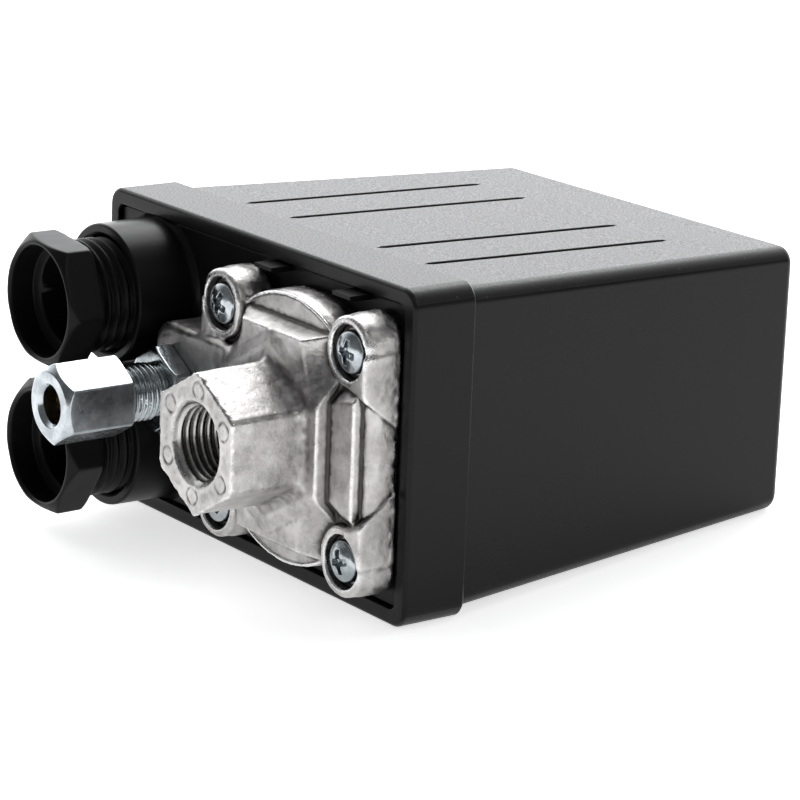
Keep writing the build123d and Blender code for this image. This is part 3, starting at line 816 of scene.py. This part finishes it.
def make_compression_nut():
    """Long nut with chamfered corners and an open mouth for the tube."""
    g = Grid((-7.6, NUT_FRONT - 0.4, -7.6), (7.6, NUT_BACK + 0.4, 7.6), 0.16)
    x, y, z = g.x, g.y, g.z
    radial = np.hypot(x, z)
    nut = solid(polygon(x, z, 6, 12.2, 90.0, 0.25), y, NUT_FRONT, NUT_BACK, 0.12)
    cone_front = (radial - 5.55 - (y - NUT_FRONT) * 1.35) * 0.6
    cone_back = (radial - 6.35 - (NUT_BACK - y) * 1.7) * 0.5
    nut = common(common(nut, cone_front, 0.12), cone_back, 0.12)
    mouth = np.maximum(3.05, 3.75 - (y - NUT_FRONT) * 1.0)
    nut = less(nut, np.maximum(radial - mouth, y + 4.0), 0.1)
    cavity = radial - np.clip(3.4 + (y + 5.2) * 0.6, 3.4, 5.05)
    nut = less(nut, np.maximum(cavity, np.abs(y + 0.1) - 5.1), 0.1)
    mesh = moved_copy(sculpt("nut_draft", nut, g, keep=0.5, wear_and_shade_reach=0.4), "tube_nut", (VALVE_X, 0, 0))
    piece = new_object("tube_nut", mesh, "compression_nut", looks["zinc_steel"])
    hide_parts("compression_nut")


make_unloader_body()
make_compression_nut()


# ---- cable glands -------------------------------------------------------------------
GLAND_LOW, GLAND_HIGH = node_box("gland_nut_upper")
GLAND_TURN = 54.0
GLAND_FLATS = 20.6
GLAND_REACH = 12.3   # half width of the grid round a nut


def gland_field(g):
    """Thin-walled hexagon nut with a coarse threaded neck, about its own axis."""
    x, y, z = g.x, g.y, g.z
    radial = np.hypot(x, z)
    front = GLAND_LOW[1]
    head = solid(polygon(x, z, 6, GLAND_FLATS, GLAND_TURN, 0.35), y, front, 6.0, 0.2)
    head = common(head, (radial - 10.15 - (y - front) * 1.25) * 0.62, 0.2)
    head = common(head, (radial - 10.9 - (6.0 - y) * 1.6) * 0.55, 0.2)
    ridge = thread_radius(x, y, z, 9.72, 8.75, 1.75)
    neck = np.maximum((radial - ridge) * 0.8, y - GLAND_HIGH[1])
    body = join(head, np.maximum(neck, 5.0 - y), 0.25)
    throat = np.where(y < 4.2, 9.4, 8.0) - np.clip(y, 0, 4) * 0.03
    flare = np.maximum(throat, 9.75 - (y - front) * 0.8)
    body = less(body, (radial - flare) * 0.9, 0.15)
    return body + wave(g, 3.0, 11) * 0.03


def make_gland_nuts():
    low = (-GLAND_REACH, GLAND_LOW[1] - 0.5, -GLAND_REACH)
    high = (GLAND_REACH, GLAND_HIGH[1] + 0.5, GLAND_REACH)
    g = Grid(low, high, 0.24)
    master = sculpt("gland_draft", gland_field(g), g, keep=0.5, wear_and_shade_reach=0.5)
    for side, way in (("upper", 1), ("lower", -1)):
        name = "gland_cap_" + side
        mesh = moved_copy(master, name, (GLAND_X, 0, way * GLAND_Z))
        piece = new_object(name, mesh, "gland_nut_" + side, looks["base_plastic"])
        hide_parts("gland_nut_" + side)


make_gland_nuts()


# ---- base plate with the two sockets ------------------------------------------------
SOCKET_R, SOCKET_IN, SOCKET_Y = 12.0, 10.1, 12.2
SOCKET_ROOT = 1.6    # fillet where a socket meets the plate
BAND_WALL = 2.7
PLATE_GAP = 0.2
PLATE_T = 3.0
SKIRT_Y = node_box("base_plate")[1][1]


def make_base_plate():
    """Skirted plate with two gland sockets, screw holes and the catches beside the flange."""
    half_w = RIM_W / 2 - BAND_WALL - PLATE_GAP
    half_h = RIM_H / 2 - BAND_WALL - PLATE_GAP
    back = BASE_Y + PLATE_T
    outer = [(BASE_Y, 0.35, 1.0), (BASE_Y + 0.1, 0.12, 1.2), (BASE_Y + 0.35, 0, 1.3), (SKIRT_Y, 0, 1.3)]
    inner = [(SKIRT_Y, 1.8, 0.6), (back, 1.8, 0.6)]
    rings = [ring(y, half_w - d, -half_h + d, half_h - d, r) for y, d, r in outer + inner]
    plate = loft("base_plate_skin", rings)
    sockets, cores = [], []
    for way in (1, -1):
        z = way * GLAND_Z
        root = arc(SOCKET_R + SOCKET_ROOT, BASE_Y - 1.4, SOCKET_ROOT, 180, 90, 6)
        outside = arc(SOCKET_R - 0.45 - 0.12, SOCKET_Y + 0.45, 0.45, -90, 0, 5) + root
        profile = [(SOCKET_IN - 0.3, SOCKET_Y), *outside,
                   (SOCKET_R + SOCKET_ROOT, back - 0.5), (SOCKET_IN - 0.3, back - 0.5)]
        sockets.append(lathe("socket", profile, 112, GLAND_X, z))
        core = [(0, SOCKET_Y - 1), (SOCKET_IN + 0.4, SOCKET_Y - 1), (SOCKET_IN + 0.4, SOCKET_Y),
                (SOCKET_IN, SOCKET_Y + 0.4), (SOCKET_IN, BASE_Y), (8.0, BASE_Y), (8.0, back + 1),
                (0, back + 1)]
        cores.append(lathe("core", core, 112, GLAND_X, z))
    for socket in sockets:
        plate = boolean(plate, socket, "UNION")
    places = [(x, z, 2.2) for x, z in BOSSES.values()] + [(VALVE_X, 0, 2.0), (0, 0, 11.0)]
    holes = [lathe("hole", [(0, BASE_Y - 1), (r, BASE_Y - 1), (r, back + 1), (0, back + 1)], 64, x, z)
             for x, z, r in places]
    for tool in cores + holes:
        plate = boolean(plate, tool, "DIFFERENCE")
    for x in (-10.6, 11.2):
        plate = boolean(plate, clip_mesh(x), "UNION")
    piece = new_object("base_plate_skin", shade(plate), "housing", looks["base_plastic"])
    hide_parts("base_plate")


def clip_mesh(x):
    """A small moulded catch that hooks over the casting's edge."""
    profile = [(BASE_Y + 0.5, 24.5), (BASE_Y - 4.2, 24.5), (BASE_Y - 4.2, 23.9), (BASE_Y - 3.4, 23.6),
               (BASE_Y + 0.5, 23.6)]
    rings = [[(x + side, y, z) for y, z in profile] for side in (-2.4, 2.4)]
    return loft("clip", rings)


make_base_plate()


# ---- cover --------------------------------------------------------------------------
BAND, BAND_STEP, WALL = 12.1, 1.1, 2.3
CORNER, EDGE = 3.2, 2.7
DRAFT_SIDE, DRAFT_TOP, DRAFT_BOTTOM = (tan(radians(a)) for a in (3.5, 1.6, 3.4))
KNOB_LOW, KNOB_HIGH = node_box("knob")
KNOB_X = (KNOB_LOW[0] + KNOB_HIGH[0]) / 2
KNOB_Z = (KNOB_LOW[2] + KNOB_HIGH[2]) / 2
COVER_SCREWS = ((9.0, -12.0, 84.6), (-49.0, 0.0, 84.6))  # x, z and the seat's y
KNOB_HOLE_R = 5.35


def cover_ring(y, inset, radius):
    """Section of the drafted cover at depth y, moved in by inset."""
    run = y - RIM_Y - BAND
    half_w = RIM_W / 2 - BAND_STEP - run * DRAFT_SIDE - inset
    top = RIM_H / 2 - BAND_STEP - run * DRAFT_TOP - inset
    bottom = -RIM_H / 2 + BAND_STEP + run * DRAFT_BOTTOM + inset
    return ring(y, half_w, bottom, top, radius, 10)


def band_ring(y, inset, radius):
    """Section of the band round the open end, moved in by inset."""
    return ring(y, RIM_W / 2 - inset, -RIM_H / 2 + inset, RIM_H / 2 - inset, radius, 10)


def cover_rings():
    """From the middle of the far face, round the outside to the rim, and back inside."""
    end = RIM_Y + BAND
    rings = []
    for i in range(7):
        a = radians(90 * i / 6)
        rings.append(cover_ring(FAR_Y - 1.8 + 1.8 * cos(a), 1.8 * (1 - sin(a)), EDGE - 0.9 * (1 - sin(a))))
    rings += [cover_ring(y, 0, EDGE) for y in (80.0, 50.0, end + 0.25)]
    rings += [cover_ring(end + 0.06, -0.08, EDGE)]
    rings += [band_ring(end, 0.75, CORNER - 0.5), band_ring(end - 0.1, 0.3, CORNER - 0.2)]
    rings += [band_ring(end - 0.55, 0, CORNER), band_ring(RIM_Y + 0.7, 0, CORNER)]
    for i in range(1, 5):
        a = radians(90 * i / 4)
        rings.append(band_ring(RIM_Y + 0.7 - 0.7 * sin(a), 0.7 * (1 - cos(a)), CORNER - 0.7 * (1 - cos(a))))
    rings += [band_ring(RIM_Y, BAND_WALL - 0.3, 1.8), band_ring(RIM_Y + 0.08, BAND_WALL - 0.08, 1.6)]
    rings += [band_ring(RIM_Y + 0.3, BAND_WALL, 1.5), band_ring(end - 0.6, BAND_WALL, 1.5)]
    rings += [cover_ring(end, WALL, 1.2), cover_ring(FAR_Y - WALL, WALL, 1.2)]
    return rings


def groove_mesh(x):
    """Cutter for a shallow groove 1.2 mm wide with pointed ends, its edges slightly flared."""
    y0, y1 = RIM_Y + 15.6, RIM_Y + 67.1
    outline = [(0, y0), (0.6, y0 + 1.6), (0.6, y1 - 1.6), (0, y1), (-0.6, y1 - 1.6), (-0.6, y0 + 1.6)]
    levels = [(-0.9, 0.75), (-0.8, 0.9), (-0.12, 1.0), (0.1, 1.35), (1.0, 1.6)]
    rings = []
    for up, grow in levels:
        top = RIM_H / 2 - BAND_STEP
        rings.append([(x + dx * grow, y, top - (y - RIM_Y - BAND) * DRAFT_TOP + up) for dx, y in outline])
    return loft("groove", rings)


def make_cover():
    shell = loft("cover_shell", cover_rings())
    for x, z, seat in COVER_SCREWS:
        post = lathe("post", [(0, seat + 0.1), (5.4, seat + 0.1), (5.4, FAR_Y - 1), (0, FAR_Y - 1)], 64, x, z)
        shell = boolean(shell, post, "UNION")
    cutters = [groove_mesh(BOX_X + side * away) for side in (-1, 1) for away in (12.6, 25.7)]
    for x, z, seat in COVER_SCREWS:
        profile = [(0, seat - 1), (2.2, seat - 1), (2.2, FAR_Y - 4), (4.3, FAR_Y - 4), (4.3, FAR_Y - 0.35),
                   (4.7, FAR_Y + 0.05), (4.7, FAR_Y + 1), (0, FAR_Y + 1)]
        cutters.append(lathe("pocket", profile, 64, x, z))
    profile = [(0, FAR_Y - 5), (KNOB_HOLE_R, FAR_Y - 5), (KNOB_HOLE_R, FAR_Y + 1), (0, FAR_Y + 1)]
    cutters.append(lathe("knob_hole", profile, 64, KNOB_X, KNOB_Z))
    for tool in cutters:
        shell = boolean(shell, tool, "DIFFERENCE")
    shell = shade(shell, 30.0)
    shell.materials.clear()
    shell.materials.append(looks["cover_plastic"])
    shell.materials.append(looks["cover_textured"])
    normals = np.zeros(len(shell.polygons) * 3)
    shell.polygons.foreach_get("normal", normals)
    upward = np.abs(normals.reshape(-1, 3)[:, 2]) > 0.35
    shell.polygons.foreach_set("material_index", upward.astype(np.int32))
    piece = new_object("cover_shell", shell, "cover")
    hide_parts("cover")


make_cover()


def make_cover_screws():
    master = screw_mesh("cover_screw", 3.8, 2.4, 0.16)
    master.transform(Matrix.Rotation(pi, 4, "Z"))
    for name, (x, z, seat), turn in zip(("right", "left"), COVER_SCREWS, (12.0, 33.0)):
        mesh = moved_copy(master, "cover_screw_" + name, (x, FAR_Y - 4.0, z), turn)
        piece = new_object("cover_screw_" + name, mesh, "cover", looks["zinc_steel"])
        profile = [(0, seat - 6), (1.5, seat - 6), (1.95, seat - 5.4), (1.95, FAR_Y - 3.8),
                   (0, FAR_Y - 3.8)]
        shank = shade(lathe("shank", profile, 48, x, z))
        stem = new_object("cover_screw_shank_" + name, shank, "cover", looks["zinc_steel"])
        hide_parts("cover_screws")


make_cover_screws()


# ---- knob ---------------------------------------------------------------------------
def make_knob():
    """Knurled disc with a grip bar, a pointer groove and a stem through the cover."""
    g = Grid((-15.0, 97.5, -15.0), (15.0, KNOB_HIGH[1] + 0.4, 15.0), 0.3)
    x, y, z = g.x, g.y, g.z
    radial = np.hypot(x, z)
    face = FAR_Y + 3.3
    knurl = 0.12 * np.cos(np.arctan2(z, x) * 48)
    plate = solid(radial - 13.85 - knurl, y, FAR_Y + 0.3, face, 0.3, 0.8)
    grip_half = 3.5 - (y - face) * 0.12
    grip = rectangle(x, z, 3.5, 12.3, 2.4) - (grip_half - 3.5)
    body = join(plate, solid(grip, y, face - 0.5, KNOB_HIGH[1], 0.2, 0.8), 1.2)
    pointer = rectangle(x, z - 8.6, 0.6, 2.6, 0.5)
    body = less(body, np.maximum(pointer, KNOB_HIGH[1] - 0.5 - y), 0.1)
    body = join(body, solid(disc(x, z, 4.95), y, 98.5, FAR_Y + 1, 0.2), 0.2)
    tongue = rectangle(x, z, 1.4, 6.0)
    body = less(body, np.maximum(tongue, y - 103.0), 0.1)
    mesh = moved_copy(sculpt("knob_draft", body, g, keep=0.5), "knob_cap", (KNOB_X, 0, KNOB_Z))
    piece = new_object("knob_cap", mesh, "knob", looks["knob_plastic"])
    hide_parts("knob")


make_knob()


# ---- floor, light and camera --------------------------------------------------------
def resting_slope():
    """Slope of the floor along Y: it touches the band's rear corner and the far bottom edge."""
    rear = RIM_Y + BAND
    slopes = []
    for vertex in frame["nodes"]["cover"].data.vertices:
        y, z = vertex.co.y / MM, vertex.co.z / MM
        if y > rear + 20:
            slopes.append((z - COVER_LOW[2]) / (y - rear))
    return rear, min(slopes)


def make_floor():
    """A pale floor that rises gently under the box, so that the drafted cover rests on it."""
    rear, slope = resting_slope()
    rise = slope * (FAR_Y - rear)
    rows = [-4000.0, -400.0, rear - 40, rear - 10, rear, FAR_Y, FAR_Y + 10, FAR_Y + 60, 600.0, 4000.0]
    lift = [0.0, 0.0, 0.0, 0.0, 0.0, rise, rise, rise, rise, rise]
    points, faces = [], []
    for y, up in zip(rows, lift):
        for x in (-4000.0, 4000.0):
            points.append((x, y, COVER_LOW[2] + up - 0.02))
    for i in range(len(rows) - 1):
        faces.append([2 * i, 2 * i + 1, 2 * i + 3, 2 * i + 2])
    floor = new_object("floor", plain_mesh("floor", points, faces))
    s = Shader("pale_floor", roughness=0.9, specular_ior_level=0.1)
    s.to(s.mix(s.noise(300.0), (0.86, 0.86, 0.86), (0.88, 0.88, 0.88)), "Base Color")
    s.shader.inputs["Emission Color"].default_value = (1.0, 1.0, 1.0, 1.0)
    s.shader.inputs["Emission Strength"].default_value = 0.68
    floor.data.materials.append(s.material)


def make_world():
    """Soft studio: bright low behind the left side, dark above and towards the front."""
    world = bpy.data.worlds.new("studio")
    bpy.context.scene.world = world
    world.use_nodes = True
    nodes, links = world.node_tree.nodes, world.node_tree.links
    place = nodes.new("ShaderNodeTexCoord")
    turned = nodes.new("ShaderNodeVectorMath")
    turned.operation = "DOT_PRODUCT"
    turned.inputs[1].default_value = Vector((-0.75, 0.60, 0.22)).normalized()
    links.new(place.outputs["Generated"], turned.inputs[0])
    level = nodes.new("ShaderNodeMapRange")
    level.interpolation_type = "SMOOTHSTEP"
    level.inputs["From Min"].default_value = 0.10
    level.inputs["From Max"].default_value = 0.95
    level.inputs["To Min"].default_value = 0.22
    level.inputs["To Max"].default_value = 2.9
    links.new(turned.outputs["Value"], level.inputs["Value"])
    links.new(level.outputs["Result"], nodes["Background"].inputs["Strength"])
    nodes["Background"].inputs["Color"].default_value = (0.98, 0.99, 1.0, 1.0)


def add_softbox(name, place, size, radiance, aim=(0.0, 0.03, 0.0)):
    """A square area light of a given brightness, aimed at the switch."""
    light = bpy.data.lights.new(name, "AREA")
    light.shape = "RECTANGLE"
    light.size, light.size_y = size
    light.energy = radiance * pi * size[0] * size[1]
    lamp = bpy.data.objects.new(name, light)
    bpy.context.scene.collection.objects.link(lamp)
    lamp.location = place
    lamp.rotation_mode = "QUATERNION"
    lamp.rotation_quaternion = (Vector(aim) - Vector(place)).to_track_quat("-Z", "Y")


CAMERA_PLACE = (413.29, -270.66, 145.0)
CAMERA_BACK = (0.7702, -0.5807, 0.2639)   # from the switch towards the camera
CAMERA_ROLL = 0.0373
CAMERA_LENS = 147.2
CAMERA_SHIFT = (-0.0060, -0.0130)


def add_camera():
    """A long lens from the front right, a little above the switch."""
    back = Vector(CAMERA_BACK).normalized()
    level_right = Vector((0, 0, 1)).cross(back).normalized()
    level_up = back.cross(level_right)
    right = level_right * cos(CAMERA_ROLL) + level_up * sin(CAMERA_ROLL)
    up = level_up * cos(CAMERA_ROLL) - level_right * sin(CAMERA_ROLL)
    data = bpy.data.cameras.new("camera")
    data.lens = CAMERA_LENS
    data.sensor_width = 36.0
    data.shift_x, data.shift_y = CAMERA_SHIFT
    data.clip_start, data.clip_end = 0.05, 20.0
    camera = bpy.data.objects.new("camera", data)
    bpy.context.scene.collection.objects.link(camera)
    place = Vector(CAMERA_PLACE) * MM
    rows = [(right[i], up[i], back[i], place[i]) for i in range(3)]
    camera.matrix_world = Matrix((*rows, (0, 0, 0, 1)))
    bpy.context.scene.camera = camera


make_floor()
make_world()
add_softbox("top_softbox", (-0.40, 0.50, 0.85), (0.6, 0.6), 3.0)
add_softbox("side_softbox", (0.9, 0.2, 0.7), (0.5, 0.5), 1.6)
add_camera()
bpy.context.scene.view_settings.view_transform = "Standard"
bpy.context.scene.view_settings.gamma = 0.86
